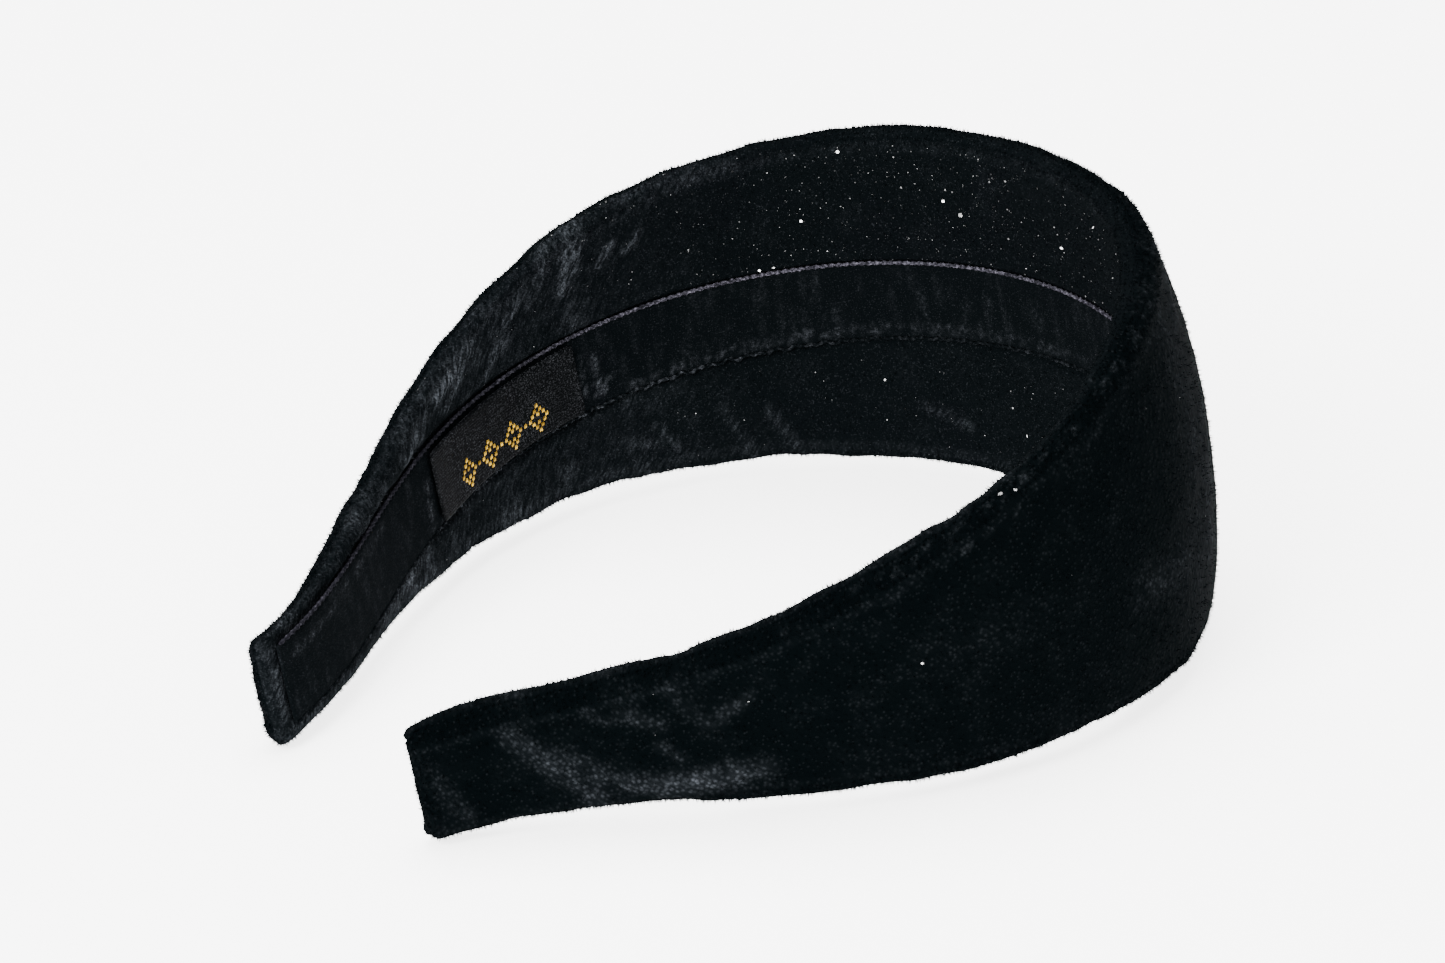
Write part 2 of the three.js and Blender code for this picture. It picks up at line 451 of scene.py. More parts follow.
def refine(piece: Piece) -> None:
    """Subdivides a piece smoothly, once, and applies it."""
    smooth = piece.modifiers.new("refine", "SUBSURF")
    smooth.levels = 1
    smooth.render_levels = 1
    graph = bpy.context.evaluated_depsgraph_get()
    shown = piece.evaluated_get(graph)
    mesh = bpy.data.meshes.new_from_object(
        shown, preserve_all_data_layers=True, depsgraph=graph)
    piece.modifiers.clear()
    piece.data = mesh


def bell(value: Array, middle: float, width: float, power: int = 2) -> Array:
    """A bump that is 1 at its middle and falls away over its width, squarer with the power."""
    return np.exp(-(((value - middle) / width) ** power))


def unit(vectors: Array) -> Array:
    """The vectors, one to a row, each brought to length 1."""
    return vectors / np.linalg.norm(vectors, axis=1, keepdims=True)


def ramp(value: Array, start: float, length: float) -> Array:
    """Rises from 0 at the start to 1 over a length, and stays there."""
    return np.clip((value - start) / length, 0, 1)


def ripple(points: Array, size: float, seed: int, octaves: int = 2) -> Array:
    """Smooth seeded noise, about -1 to 1, with waves of the given size."""
    shift = Vector((13.7 * seed, 7.1 * seed, 3.3 * seed))
    scaled = points / size
    return np.array([noise.fractal(Vector(p) + shift, 1.0, 2.0, octaves) for p in scaled])


def scatter(name: str, bm: bmesh.types.BMesh, turns: Array, places: Array,
            flats: Array) -> Piece:
    """Makes one mesh of many copies of a small closed shape.

    Args:
        name: name of the piece.
        bm: the small shape, about the origin; it is freed.
        turns: a 3 by 3 matrix for each copy, with its size in it.
        places: where each copy goes.
        flats: each copy's place on the flat band.

    Returns:
        The piece.
    """
    bmesh.ops.triangulate(bm, faces=bm.faces)
    shape = np.array([vert.co for vert in bm.verts])
    faces = np.array([[vert.index for vert in face.verts] for face in bm.faces])
    bm.free()
    points = np.einsum("kij,vj->kvi", turns, shape) + places[:, None]
    corners = faces[None] + len(shape) * np.arange(len(places))[:, None, None]
    mesh = bpy.data.meshes.new(name)
    mesh.from_pydata(points.reshape(-1, 3), [], corners.reshape(-1, 3).tolist())
    mesh.validate()
    layer = mesh.attributes.new(FLAT, "FLOAT_VECTOR", "POINT")
    spread = np.repeat(flats, len(shape), 0)
    layer.data.foreach_set("vector", spread.astype(np.float32).ravel())
    return add_object(name, mesh)


def frames_on(normals: Array, spin: Array) -> Array:
    """Turns whose third column is the normal, spun about it by an angle each."""
    helper = np.where(np.abs(normals[:, 2:]) < 0.9, [[0, 0, 1.0]], [[1.0, 0, 0]])
    first = np.cross(helper, normals)
    first = unit(first)
    second = np.cross(normals, first)
    c, s = np.cos(spin)[:, None], np.sin(spin)[:, None]
    return np.stack([first * c + second * s, second * c - first * s, normals], 2)


# ---- Finishes ----


class Graph:
    """A material's node tree, with short ways to add and join nodes."""

    def __init__(self, name: str) -> None:
        """Starts an empty tree with an output."""
        self.material = bpy.data.materials.new(name)
        self.material.use_nodes = True
        self.tree = self.material.node_tree
        self.tree.nodes.clear()
        self.output = self.tree.nodes.new("ShaderNodeOutputMaterial")

    def add(self, kind: str, values: dict | None = None, **settings) -> bpy.types.Node:
        """Adds a node.

        Args:
            kind: the node's type, without the ShaderNode that begins it.
            values: a socket's number or colour, or the socket that feeds it, by name or number.
            settings: the node's own options.

        Returns:
            The node.
        """
        node = self.tree.nodes.new("ShaderNode" + kind)
        for option, value in settings.items():
            setattr(node, option, value)
        for socket, value in (values or {}).items():
            if isinstance(value, bpy.types.NodeSocket):
                self.tree.links.new(value, node.inputs[socket])
            else:
                node.inputs[socket].default_value = value
        return node

    def flat(self) -> Socket:
        """The surface's place on the flat band."""
        return self.add("Attribute", attribute_name=FLAT).outputs["Vector"]

    def crush_sheen(self) -> Socket:
        """How far the pile is laid down, which sets the painted sheen (painted glints on glitter)."""
        return self.add("Attribute", attribute_name=CRUSH_SHEEN).outputs["Fac"]

    def grain(self, place: Socket, size: float, detail: float = 2.0,
              distortion: float = 0.0) -> Socket:
        """Noise with spots of the given size."""
        values = {"Vector": place, "Scale": 1 / size, "Detail": detail,
                  "Distortion": distortion}
        return self.add("TexNoise", values).outputs["Fac"]

    def between(self, value: Socket, low: float, high: float,
                out_low: float = 0.0, out_high: float = 1.0) -> Socket:
        """Maps a value from one range to another, clamped."""
        values = {0: value, 1: low, 2: high, 3: out_low, 4: out_high}
        return self.add("MapRange", values).outputs[0]

    def math(self, kind: str, first: Socket | float, second: Socket | float) -> Socket:
        """Joins two values by a sum, a difference or the larger of the two."""
        return self.add("Math", {0: first, 1: second}, operation=kind).outputs[0]

    def times(self, first: Socket | float, second: Socket | float) -> Socket:
        """Multiplies two values."""
        return self.math("MULTIPLY", first, second)

    def blend(self, share: Socket, first: Socket, second: Socket) -> Socket:
        """Mixes two values by a share."""
        return self.add("Mix", {0: share, 2: first, 3: second}).outputs[0]

    def mix(self, share: Socket, first: Sequence[float], second: Sequence[float]) -> Socket:
        """Mixes two colours by a share."""
        node = self.add("Mix", {0: share}, data_type="RGBA")
        node.inputs[6].default_value = (*first, 1)
        node.inputs[7].default_value = (*second, 1)
        return node.outputs[2]

    def bump(self, height: Socket, depth: float, strength: float = 1.0) -> Socket:
        """Normals of a relief of the given depth."""
        values = {"Height": height, "Distance": depth, "Strength": strength}
        return self.add("Bump", values).outputs["Normal"]

    def finish(self, values: dict) -> bpy.types.Material:
        """Joins a principled shader with these sockets to the output."""
        shader = self.add("BsdfPrincipled", values)
        self.tree.links.new(shader.outputs[0], self.output.inputs["Surface"])
        return self.material


@dataclass(frozen=True)
class Velvet:
    """Black velvet pile: dark where it stands; where it is laid down, grey painted sheen with
    speckled painted glints.
    """

    name: str
    standing: Triple
    laid: Triple
    pile: float = 0.26 * MM
    tuft: float = 0.9 * MM
    streak: float = 0.5 * MM
    stretch: float = 4.0
    slant: float = 50.0
    # painted light: how much lighter the inner face is painted than the outer
    painted_inner_light: float = 0.012
    relief: float = 0.16 * MM
    sheen: float = 0.0012
    specular: float = 0.004
    coarse_from: float = 20 * MM  # on the right arm the pile shows as round tufts, and its painted glints are round spots
    coarse_to: float = 70 * MM

    def material(self) -> bpy.types.Material:
        """Builds the material."""
        graph = Graph(self.name)
        flat = graph.flat()
        along, _, depth = graph.add("SeparateXYZ", {0: flat}).outputs
        coarser = graph.between(along, self.coarse_from, self.coarse_to)
        dots = graph.add("TexVoronoi", {"Vector": flat, "Scale": 0.36 / self.pile}).outputs[0]
        pile = graph.blend(coarser, graph.grain(flat, self.pile, 1.5),
                           graph.math("SUBTRACT", 0.9, dots))
        tuft = graph.grain(flat, self.tuft, 3.0, 0.4)
        lie = graph.add("Mapping", {"Vector": flat, "Scale": (self.stretch, 1, 1),
                                    "Rotation": (0, 0, math.radians(self.slant))},
                        vector_type="TEXTURE").outputs[0]
        # painted sheen where the pile is laid: streaky patches broken into spots
        patch = graph.between(graph.grain(lie, self.streak, 2.0), 0.4, 0.62, 0.12, 1.0)
        patch = graph.math("MAXIMUM", patch, graph.between(coarser, 0, 1, 0.0, 0.45))
        spots = graph.blend(coarser, graph.between(pile, 0.36, 0.66, 0.25, 1.25),
                            graph.between(pile, 0.36, 0.66, 0.25, 0.95))
        crushed = graph.times(graph.times(graph.crush_sheen(), patch), spots)
        # painted glints of single standing tufts
        painted_glints = graph.times(graph.between(pile, 0.6, 0.74),
                            graph.between(tuft, 0.4, 0.7, 0.06, 0.2))
        painted_glints = graph.times(painted_glints, graph.between(coarser, 0, 1, 1.0, 0.22))
        # painted light: the inner face is painted a little lighter than the outer
        inner_light_share = graph.between(depth, -0.5 * MM, 0.5 * MM, self.painted_inner_light, 0.0)
        share = graph.math("ADD", graph.math("ADD", crushed, painted_glints), inner_light_share)
        relief = graph.math("ADD", pile, graph.times(tuft, 0.6))
        return graph.finish({
            "Base Color": graph.mix(share, self.standing, self.laid),
            "Roughness": graph.between(crushed, 0, 1, 0.9, 0.5),
            "Specular IOR Level": self.specular,
            "Sheen Weight": self.sheen,
            "Sheen Roughness": 0.3,
            "Sheen Tint": (0.78, 0.88, 1.0, 1),
            "Normal": graph.bump(relief, self.relief),
        })


@dataclass(frozen=True)
class Satin:
    """Smooth woven band: fine warp lines with a slight sheen."""

    name: str
    dark: Triple
    light: Triple
    pitch: float
    roughness: float

    def material(self) -> bpy.types.Material:
        """Builds the material."""
        graph = Graph(self.name)
        flat = graph.flat()
        warp = graph.add("TexWave", {"Vector": flat, "Scale": 0.5 / self.pitch / 3.1,
                                     "Distortion": 1.2, "Detail": 2.0, "Detail Scale": 2.0},
                         bands_direction="Y").outputs["Fac"]
        thread = graph.grain(flat, self.pitch)
        cloud = graph.grain(flat, 5 * MM)
        share = graph.times(graph.between(thread, 0.52, 0.7),
                            graph.between(cloud, 0.3, 0.7, 0.4, 1.0))
        relief = graph.math("ADD", thread, graph.times(warp, 0.5))
        return graph.finish({
            "Base Color": graph.mix(share, self.dark, self.light),
            "Roughness": graph.between(cloud, 0.3, 0.7, self.roughness, self.roughness + 0.15),
            "Specular IOR Level": 0.008,
            "Sheen Weight": 0.0012,
            "Sheen Roughness": 0.4,
            "Normal": graph.bump(relief, 0.05 * MM),
        })


@dataclass(frozen=True)
class Metal:
    """Metal thread or foil with fine scratches, lighter in spots, or where its crush value, a painted
    glint, is high.
    """

    name: str
    dark: Triple
    light: Triple
    roughness: float
    scratch: float
    depth: float
    strength: float
    spot: float = 0.0  # size of the lighter spots; 0 takes the crush value as a painted glint

    def material(self) -> bpy.types.Material:
        """Builds the material."""
        graph = Graph(self.name)
        flat = graph.flat()
        wear = graph.grain(flat, self.scratch)
        if self.spot:
            share = graph.between(graph.grain(flat, self.spot), 0.35, 0.65)
        else:
            share = graph.crush_sheen()
        return graph.finish({
            "Base Color": graph.mix(share, self.dark, self.light),
            "Metallic": 1.0,
            "Roughness": graph.between(wear, 0.3, 0.7, self.roughness, self.roughness + 0.2),
            "Normal": graph.bump(wear, self.depth, self.strength),
        })


@dataclass(frozen=True)
class Moulded:
    """Plain moulded stuff: satin plastic, or foam when its cells are deep."""

    name: str
    dark: Triple
    light: Triple
    cell: float
    depth: float
    roughness: float

    def material(self) -> bpy.types.Material:
        """Builds the material."""
        graph = Graph(self.name)
        flat = graph.flat()
        cells = graph.add("TexVoronoi", {"Vector": flat, "Scale": 1 / self.cell}).outputs[0]
        cloud = graph.grain(flat, 12 * self.cell, 3.0)
        return graph.finish({
            "Base Color": graph.mix(graph.between(cloud, 0.3, 0.7), self.dark, self.light),
            "Roughness": graph.between(cloud, 0.3, 0.7, self.roughness, self.roughness + 0.1),
            "Normal": graph.bump(cells, self.depth),
        })


# The laid colours are painted sheen of the laid pile; the standing colours are the velvet's own
# black.
COVER_VELVET = Velvet("cover_velvet", (0.0004, 0.0009, 0.0011), (0.056, 0.062, 0.071))
RIBBON_VELVET = Velvet("ribbon_velvet", (0.0004, 0.0009, 0.0011), (0.055, 0.059, 0.068),
                       pile=0.24 * MM, tuft=0.7 * MM, streak=0.7 * MM, stretch=1.0)
# The front thread's laid colour is a painted highlight along the ribbon's edge.
SELVEDGE_PILE = Velvet("selvedge_pile", (0.0018, 0.002, 0.003), (0.125, 0.118, 0.148),
                       tuft=0.7 * MM, stretch=1.0)
LABEL_SATIN = Satin("label_satin", (0.0008, 0.001, 0.0012), (0.024, 0.025, 0.028),
                    0.24 * MM, 0.5)
GOLD_THREAD = Metal("gold_thread", (0.15, 0.083, 0.007), (0.45, 0.28, 0.035), 0.36,
                    0.15 * MM, 0.03 * MM, 0.6, spot=0.8 * MM)
# The foil's light colour is a painted glint, given per flake by its crush value.
GLITTER_FOIL = Metal("glitter_foil", (0.004, 0.005, 0.006), (1.0, 1.0, 1.0), 0.2,
                     0.1 * MM, 0.02 * MM, 0.5)
CORE_PLASTIC = Moulded("core_plastic", (0.012, 0.012, 0.013), (0.02, 0.02, 0.022),
                       0.6 * MM, 0.02 * MM, 0.38)
GREY_FOAM = Moulded("grey_foam", (0.09, 0.095, 0.1), (0.16, 0.165, 0.17),
                    0.5 * MM, 0.25 * MM, 0.9)


def dress(piece: Piece, finish: Velvet | Satin | Metal | Moulded) -> None:
    """Gives a piece its finish."""
    piece.data.materials.clear()
    piece.data.materials.append(finish.material())


# ---- Placed marks on the velvet ----


@dataclass(frozen=True)
class Mark:
    """A crease or a streak of laid pile, from one place on the flat band to another, in mm; its light
    is painted sheen.
    """

    start: tuple[float, float]
    end: tuple[float, float]
    width: float
    light: float
    height: float
    face: Face

    def strength(self, flat: Array) -> Array:
        """How strongly each point is under the mark, 0 to 1."""
        a, b = np.array(self.start), np.array(self.end)
        point = flat[:, :2] / MM
        line = b - a
        share = np.clip(((point - a) @ line) / (line @ line), 0, 1)
        gap = np.linalg.norm(point - a - share[:, None] * line, axis=1)
        on_face = np.where(flat[:, 2] * self.face.value > 0, 1.0, 0.0)
        return on_face * bell(gap, 0, self.width)


def marks(face: Face, *rows: tuple[float, ...]) -> tuple[Mark, ...]:
    """Makes the marks of one face, each from its start, end, width, light (painted sheen) and height.
    """
    return tuple(Mark(row[:2], row[2:4], *row[4:], face) for row in rows)


# Rows of start and end in mm, width in mm, light as painted sheen, and height of the real crease in
# mm.
INNER_MARKS = marks(
    Face.INNER,
    (-152, 5.8, -139, 6.8, 0.72, 0.4, 0.25), (-138, 8.5, -133, 10.3, 0.88, 0.58, 0.35),
    (-131, 9.6, -128, 13.8, 0.64, 0.5, 0.35), (-125.5, 12.4, -115, 15.7, 1.04, 0.72, 0.5),
    (-123, 9.7, -117, 13.1, 0.64, 0.58, 0.3), (-112.8, 8.4, -108.5, 12.2, 0.64, 0.43, 0.35),
    (-105.2, 15.5, -100.7, 18.8, 0.8, 0.43, 0.3), (-100, 16.3, -96, 20, 0.72, 0.32, 0.3),
    (-96, 21.4, -92, 24.8, 0.8, 0.36, 0.3), (-93.1, 15.3, -90, 23.8, 1.0, 0.54, 0.4),
    (-90.3, 17.8, -87.5, 24.7, 0.8, 0.44, 0.3), (-86, 17.1, -82.5, 19.8, 0.64, 0.36, 0.2),
    (-80.8, 17.7, -77.7, 20, 0.56, 0.36, 0.2), (-82.2, 26.4, -60, 27.5, 0.8, 0.22, 0),
    (-136, -6.6, -145.5, -8.4, 1.04, 0.65, 0.3), (-146, -8.2, -156, -7.6, 1.12, 0.36, 0),
    (-69.7, -14.7, -65.9, -24.2, 0.56, 0.25, 0.4), (-62.2, -16.6, -57.8, -25.8, 0.56, 0.25, 0.4),
    (-81.3, -14.1, -77.7, -20.4, 0.56, 0.25, 0.35), (-88.4, -14.1, -82, -17.5, 0.64, 0.25, 0.3),
    (-35, -19.4, -27, -22.5, 0.8, 0.18, 0.2), (-188.3, 5, -188.3, -8, 0.56, 0.32, 0),
)
OUTER_MARKS = marks(
    Face.OUTER,
    (174.6, 4.5, 163.9, -8, 1.6, 0.35, 0.35), (170, 0.4, 165, -1.5, 1.4, 0.24, 0.2),
    (163, -3.8, 157.7, -6.9, 1.2, 0.35, 0.3), (158.7, -6.9, 139.8, -8.4, 1.7, 0.32, 0.25),
    (153.4, -7.9, 144.6, -7.8, 2, 0.32, 0.2), (158.1, 5.2, 153.3, 2.7, 1, 0.32, 0.3),
    (162.9, 5.8, 160, 4.3, 0.8, 0.2, 0.2), (153.5, -0.8, 151, -3.5, 0.8, 0.24, 0.2),
    (143.7, 2.5, 140.1, 4, 1.1, 0.24, 0.2), (150.8, 7.7, 146, 1.3, 1.3, 0.14, 0.2),
    (187.2, 0.1, 183.6, -6.4, 1.2, 0.16, 0.2), (75.7, -5.2, 64.6, -7.1, 3, 0.14, 0.3),
    (50, 24, 56, -14, 6, 0.09, 0), (99, 2, 112, 4, 4, 0.04, 0), (45, 8, 52, -12, 3, 0.12, 0.25),
    (36, 29, 44, 22, 2.1, 0.14, 0.2),
)
RIBBON_MARKS = marks(
    Face.INNER,
    (-89.5, 1.9, -90.4, -4.3, 0.5, 0.9, 0.25), (-92.6, 2.2, -93.3, -4.3, 0.6, 0.7, 0.25),
    (-87.3, -2.7, -90.3, -5.6, 0.5, 0.7, 0.15), (-86, -5.6, -42, -5.0, 0.7, 0.3, 0),
    (-42, -5.0, 20, -5.0, 0.8, 0.2, 0), (20, -5.2, 72, -4.4, 0.9, 0.2, 0),
    (-184.2, 3.7, -150.5, 4.7, 0.6, 0.35, 0), (-133.5, 2.0, -134.5, -5.0, 0.9, 0.5, 0.2),
    (-131, -6.4, -95, -6.4, 0.6, 0.5, 0),
)
# Where the velvet stands out at an edge: from and to in mm, front 1 or back -1, by how much.
EDGE_SWELLS = ((15, 75, 1, 0.9), (105, 188, 1, 1.0), (95, 150, -1, 0.8), (58, 74, -1, 0.7),
               (-98, -72, 1, 0.6), (-172, -150, 1, 0.6))


# ---- Sub-assemblies ----


@dataclass
class PlasticCore:
    """Springy plastic band inside the cover."""

    band: Band
    columns: int = 150
    face_rows: int = 9

    def build(self) -> Piece:
        """Makes the core from tip to tip."""
        band = self.band
        strip = outline_strip(
            band, band.cover_thick + band.clearance,
            nose=band.core_thick / 2,
            inner=lambda s, w: np.full_like(s, -band.core_face),
            outer=lambda s, w: np.full_like(s, band.core_face),
            columns=self.columns, face_rows=self.face_rows, nose_rows=4, corner=2 * MM,
        )
        piece = strip.build("plastic_core", band)
        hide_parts("core_left", "core_right")
        dress(piece, CORE_PLASTIC)
        return piece


@dataclass
class FoamPad:
    """Foam on the outer face of the core, crowned across the band."""

    band: Band
    columns: int = 150
    face_rows: int = 12
    fill: float = 0.7

    def build(self) -> Piece:
        """Makes the pad from tip to tip."""
        band = self.band
        strip = outline_strip(
            band, band.cover_thick + band.clearance + band.pad_setback,
            nose=band.pad_edge,
            inner=lambda s, w: np.full_like(s, band.core_face + band.clearance),
            outer=band.pad_face,
            columns=self.columns, face_rows=self.face_rows, nose_rows=4, corner=2 * MM,
        )
        piece = strip.build("foam_pad", band)
        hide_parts("pad_left", "pad_right")
        dress(piece, GREY_FOAM)
        return piece


@dataclass
class VelvetCover:
    """Velvet wrapped round the padded core, turned in on the inner face and over the tips."""

    band: Band
    columns: int = 182
    face_rows: int = 14
    nose_rows: int = 4
    seam_gap: float = 5 * MM
    wall: float = 0.7 * MM
    rim_width: float = 2.4 * MM
    rim_rise: float = 0.35 * MM
    rim_groove: float = 0.3 * MM
    bead: float = 0.4 * MM
    frames: int = 18
    cloth: tuple[tuple[str, float], ...] = (
        ("quality", 5), ("mass", 0.1), ("tension_stiffness", 12), ("compression_stiffness", 12),
        ("shear_stiffness", 6), ("bending_stiffness", 0.05), ("use_pressure", True),
        ("uniform_pressure_force", 3.0), ("shrink_min", -0.02),
    )
    most_out: float = 0.7 * MM
    most_in: float = 0.15 * MM
    covered: float = 7.2 * MM  # half width under the ribbon that stays flat
    bead_line: tuple[float, float] = (8.4, 1.2)  # mm from the middle line, and its width
    groove_end: tuple[float, float] = (115, 30)  # mm along an arm where it fades, and over what
    arm: tuple[float, float] = (65, 40)  # mm along, where the arm's cloudy painted sheen sets in
    fold: tuple[float, float] = (80, 45)  # mm along, the middle of the fold and its reach, over which lines of painted sheen run
    fold_lines: tuple[float, ...] = (0.6, 3.4)  # mm in from the front edge, the lines of painted sheen by the fold
    swell_ease: float = 3  # mm over which a swell of the edge rises

    def strip(self) -> Strip:
        """The cover's skin before it settles."""
        band = self.band
        return outline_strip(
            band, 0.0,
            nose=band.cover_thick + band.core_thick,
            inner=lambda s, w: np.full_like(s, band.inner_face),
            outer=band.cover_face,
            columns=self.columns, face_rows=self.face_rows, nose_rows=self.nose_rows,
            end_round=band.tip_corner, end_columns=5, corner=band.tip_corner,
            gap=self.seam_gap,
        )

    def edge_distance(self, flat: Array) -> Array:
        """Distance of each point from the nearer edge of the band, along the flat face."""
        return self.band.reach(np.sign(flat[:, 1]), flat[:, 0]) - np.abs(flat[:, 1])

    def settle(self, piece: Piece) -> None:
        """Lets the velvet puff and pucker over the padding by a short cloth simulation.

        Args:
            piece: the cover; its vertices move by no more than the caps.
        """
        rest, flat, normals = points_of(piece), flat_of(piece), normals_of(piece)
        held = (flat[:, 2] < 0) & (np.abs(flat[:, 1]) < HELD)
        trial = piece.copy()
        trial.data = piece.data.copy()
        bpy.context.scene.collection.objects.link(trial)
        push_out(trial, ripple(flat, 4 * MM, seed=3) * 0.1 * MM)
        group = trial.vertex_groups.new(name="held")
        group.add(np.flatnonzero(held).tolist(), 1.0, "REPLACE")
        settings = trial.modifiers.new("settle", "CLOTH").settings
        for name, value in self.cloth:
            setattr(settings, name, value)
        settings.vertex_group_mass = "held"
        settings.effector_weights.gravity = 0
        scene = bpy.context.scene
        for number in range(1, self.frames + 1):
            scene.frame_set(number)
        shown = trial.evaluated_get(bpy.context.evaluated_depsgraph_get())
        moved = points_of(shown) - rest
        scene.frame_set(1)
        bpy.data.objects.remove(trial)
        out = np.sum(moved * normals, 1)
        log.info("settled: %.2f to %.2f mm", out.min() / MM, out.max() / MM)
        most = np.where(out > 0, self.most_out, self.most_in)
        push_out(piece, most * np.tanh(out / most))

    def shape(self, piece: Piece) -> None:
        """Adds the rolled rim, the puckers and the placed creases, and lays the pile, whose laid
        parts carry painted sheen.
        """
        flat = flat_of(piece)
        along, across = flat[:, 0] / MM, np.abs(flat[:, 1]) / MM
        edge = self.edge_distance(flat)
        inner = flat[:, 2] < 0
        rim_line = bell(edge, self.rim_width, 0.5 * MM)
        groove = self.rim_groove * rim_line * (1 - ramp(np.abs(along), *self.groove_end))
        rim = self.rim_rise * bell(edge, 0.45 * self.rim_width, MM)
        height = np.where(inner, rim - groove, -0.4 * groove)
        on_edge = np.exp(-np.maximum(edge, 0) / (3 * MM))
        height += ripple(flat, 8 * MM, seed=5) * on_edge * 0.4 * MM
        height += ripple(flat, 3.5 * MM, seed=9, octaves=3) * 0.09 * MM
        height += inner * bell(across, *self.bead_line) * self.bead
        # painted sheen: faint clouds everywhere, and stronger clouds on the arms, mostly on the inner
        # face
        crush_sheen = 0.032 * np.clip(ripple(flat, 7 * MM, seed=11, octaves=3), 0, 1)
        arm = ramp(np.abs(along), *self.arm)
        clouds = np.clip(ripple(flat, 5 * MM, seed=17, octaves=3), 0, 1)
        crush_sheen += arm * np.where(inner, 0.06 + 0.3 * clouds, 0.05 * clouds)
        tear = np.clip(0.75 + 0.6 * ripple(flat, 2.5 * MM, seed=23), 0, 1.3)
        for mark in INNER_MARKS + OUTER_MARKS:
            under = mark.strength(flat)
            crush_sheen += under * mark.light * tear
            height += under * mark.height * MM
        # painted sheen along the rim line, stronger on the inner face
        crush_sheen += np.where(inner, 0.13, 0.05) * rim_line * tear
        # dotted lines of painted sheen by the fold on the outer front
        by_fold = bell(along, *self.fold, power=4) * ((flat[:, 1] > 0) & ~inner)
        dots = np.clip(2 * ripple(flat, 1.6 * MM, seed=29), 0, 1)
        for line in self.fold_lines:
            crush_sheen += 0.3 * by_fold * bell(edge / MM, line, 0.4) * dots
        for start, finish, side, swell in EDGE_SWELLS:
            before = np.exp((start - along) / self.swell_ease)
            after = np.exp((along - finish) / self.swell_ease)
            room = 1 / (1 + before) / (1 + after)
            at_edge = bell(edge, 0, 2.2 * MM) * (flat[:, 1] * side > 0)
            height += swell * MM * room * at_edge
        push_out(piece, np.where(inner & (across * MM < self.covered), 0, height))
        lay_pile(piece, crush_sheen)

    def cut_size(self) -> tuple[float, float, float]:
        """Width, length and area of the flat cut, with its turned-in edges and folds."""
        band = self.band
        s = np.linspace(-band.curve.half_length, band.curve.half_length, 400)
        wrap = 2 * band.reach(np.ones_like(s), s) + 2 * band.reach(-np.ones_like(s), s)
        wrap += 2 * band.cover_face(s, np.zeros_like(s)) - self.seam_gap
        area = float(np.sum((wrap[1:] + wrap[:-1]) / 2 * np.diff(s)))
        return float(wrap.max()), 2 * band.curve.half_length, area

    def build(self) -> Piece:
        """Makes the cover from tip to tip."""
        piece = self.strip().build("velvet_cover", self.band)
        self.settle(piece)
        refine(piece)
        self.shape(piece)
        wall = piece.modifiers.new("wall", "SOLIDIFY")
        wall.thickness = self.wall
        wall.offset = -1
        wall.use_rim = True
        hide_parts("cover_left", "cover_right")
        width, length, area = self.cut_size()
        dress(piece, COVER_VELVET)
        return piece


@dataclass
class PileFringe:
    """Standing pile that shows as a soft fuzz along the edges of the cover."""

    band: Band
    edge_fibres: int = 26000
    face_fibres: int = 16000
    length: float = 0.75 * MM
    root: float = 0.085 * MM
    edge_zone: float = 2.0 * MM
    lean: float = 0.6
    stand: float = 0.4  # share of a fibre's length by which its middle is off the cloth
    seed: int = 41

    def build(self, cover: Piece) -> Piece:
        """Plants the fibres on the cover.

        Args:
            cover: the finished cover.

        Returns:
            The fibres as one piece.
        """
        rng = np.random.default_rng(self.seed)
        mesh = cover.data
        flat, points, normals = flat_of(cover), points_of(cover), normals_of(cover)
        crush_sheen = np.zeros(len(points), np.float32)
        mesh.attributes[CRUSH_SHEEN].data.foreach_get("value", crush_sheen)
        quads = np.array([list(face.vertices)[:3] for face in mesh.polygons])
        areas = np.zeros(len(quads))
        mesh.polygons.foreach_get("area", areas)
        middle = flat[quads].mean(1)
        reach = self.band.reach(np.sign(middle[:, 1]), middle[:, 0])
        on_edge = np.abs(middle[:, 1]) > reach - self.edge_zone
        on_edge |= np.abs(middle[:, 0]) > self.band.curve.half_length - self.edge_zone
        hidden = (middle[:, 2] < 0) & (np.abs(middle[:, 1]) < HELD)
        chosen = []
        for zone, count in ((on_edge, self.edge_fibres), (~on_edge, self.face_fibres)):
            weight = areas * (zone & ~hidden)
            chosen.append(rng.choice(len(quads), count, p=weight / weight.sum()))
        chosen = np.concatenate(chosen)
        mix = rng.dirichlet((1, 1, 1), len(chosen))[:, :, None]
        at = (points[quads[chosen]] * mix).sum(1)
        up = (normals[quads[chosen]] * mix).sum(1)
        up += rng.normal(0, self.lean, up.shape)
        up = unit(up)
        turns = frames_on(up, rng.uniform(0, 2 * math.pi, len(at)))
        tall = self.length * rng.uniform(0.5, 1.1, len(at))
        turns[:, :, :2] *= self.root
        turns[:, :, 2] *= tall[:, None]
        bm = bmesh.new()
        bmesh.ops.create_cone(bm, segments=3, radius1=1, radius2=0, depth=1, cap_ends=True)
        bmesh.ops.remove_doubles(bm, verts=bm.verts, dist=1e-4)
        bmesh.ops.translate(bm, verts=bm.verts, vec=(0, 0, self.stand))
        flats = (flat[quads[chosen]] * mix).sum(1)
        piece = scatter("pile_fibres", bm, turns, at, flats)
        lay_pile(piece, crush_sheen[quads[chosen, 0]])
        dress(piece, COVER_VELVET)
        return piece


